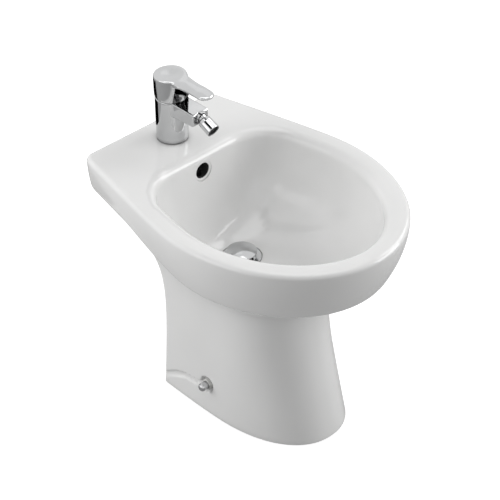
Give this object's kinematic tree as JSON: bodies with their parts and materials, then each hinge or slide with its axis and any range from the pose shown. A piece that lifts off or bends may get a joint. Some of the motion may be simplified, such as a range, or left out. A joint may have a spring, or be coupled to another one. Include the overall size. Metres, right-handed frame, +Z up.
{
  "type": "floor standing bidet",
  "caption": "Floor standing ceramic bidet with open bowl, single-lever chrome mixer with ball-jointed nozzle, pop-up waste and concealed side fixings.",
  "frame": {"origin": "on the floor, under the middle of the overall length and width", "axes": "+Z up, +Y towards the wall, -Y towards the user, +X to the right of someone facing the wall"},
  "size_m": [0.377, 0.504, 0.515],
  "materials": {
    "glazed_ceramic": "white glazed vitreous china, opaque and glossy",
    "chrome": "polished chrome plating on brass",
    "brass": "turned brass",
    "steel": "bright zinc plated or stainless steel",
    "black_rubber": "matt moulded rubber",
    "disc_ceramic": "lapped alumina ceramic, opaque",
    "black_plastic": "moulded plastic",
    "white_plastic": "moulded plastic"
  },
  "bodies": {
    "bidet": {"ceramic_rim": "glazed_ceramic", "ceramic_bowl": "glazed_ceramic", "ceramic_apron": "glazed_ceramic", "ceramic_pedestal": "glazed_ceramic", "mixer_body": "chrome", "mixer_base_ring": "black_rubber", "mounting_stud": "steel", "horseshoe_seal": "black_rubber", "horseshoe_plate": "steel", "stud_nut": "brass", "cartridge_base": "white_plastic", "cartridge_seals": "black_rubber", "fixed_disc": "disc_ceramic", "cartridge_housing": "white_plastic", "cartridge_nut": "brass", "cover_dome": "chrome", "nozzle_collar": "chrome", "waste_body": "chrome", "waste_top_gasket": "black_rubber", "waste_lower_gasket": "black_rubber", "waste_nut": "brass", "latch_sleeve": "white_plastic", "latch_spring": "steel", "floor_bracket_left": "steel", "floor_bracket_right": "steel", "side_screw_left": "steel", "side_screw_right": "steel", "side_bush_left": "white_plastic", "side_bush_right": "white_plastic", "side_cap_left": "chrome", "side_cap_right": "chrome"},
    "lever_carrier": {"cartridge_spindle": "white_plastic", "stem_pivot_pin": "steel"},
    "lever": {"lever_stem": "steel", "lever_handle": "chrome", "lever_grub_screw": "steel", "index_plug": "chrome"},
    "mixing_disc": {"moving_disc": "disc_ceramic"},
    "nozzle_ring": {"nozzle_seat_ring": "white_plastic"},
    "nozzle": {"nozzle_ball": "chrome", "nozzle_washer": "black_rubber", "nozzle_barrel": "chrome", "aerator_insert": "black_plastic"},
    "plug": {"waste_plug": "chrome", "plug_seal": "black_rubber", "plug_stem": "steel"}
  },
  "joints": [
    {"name": "lever_turn", "type": "hinge", "parent": "bidet", "child": "lever_carrier", "pos_m": [0, 0.195, 0.46], "axis": [0, 0, 1], "range_deg": [-45, 45]},
    {"name": "lever_lift", "type": "hinge", "parent": "lever_carrier", "child": "lever", "pos_m": [0, 0.195, 0.46], "axis": [-1, 0, 0], "range_deg": [0, 14]},
    {"name": "disc_slide", "type": "slide", "parent": "lever_carrier", "child": "mixing_disc", "axis": [0, -1, 0], "range_m": [0, 0.00245]},
    {"name": "nozzle_swivel", "type": "hinge", "parent": "bidet", "child": "nozzle_ring", "pos_m": [0, 0.127, 0.465], "axis": [0, -1, 0], "range_deg": [-90, 90]},
    {"name": "nozzle_tilt", "type": "hinge", "parent": "nozzle_ring", "child": "nozzle", "pos_m": [0, 0.127, 0.465], "axis": [1, 0, 0], "range_deg": [-54, 6]},
    {"name": "plug_travel", "type": "slide", "parent": "bidet", "child": "plug", "axis": [0, 0, 1], "range_m": [-0.009, 0], "stiffness_N_per_m": 200, "springref_m": 0.012, "deforming": ["latch_spring"]}
  ],
  "couplings": [
    {"joint": "disc_slide", "follows": "lever_lift", "m_per_rad": 0.01}
  ]
}
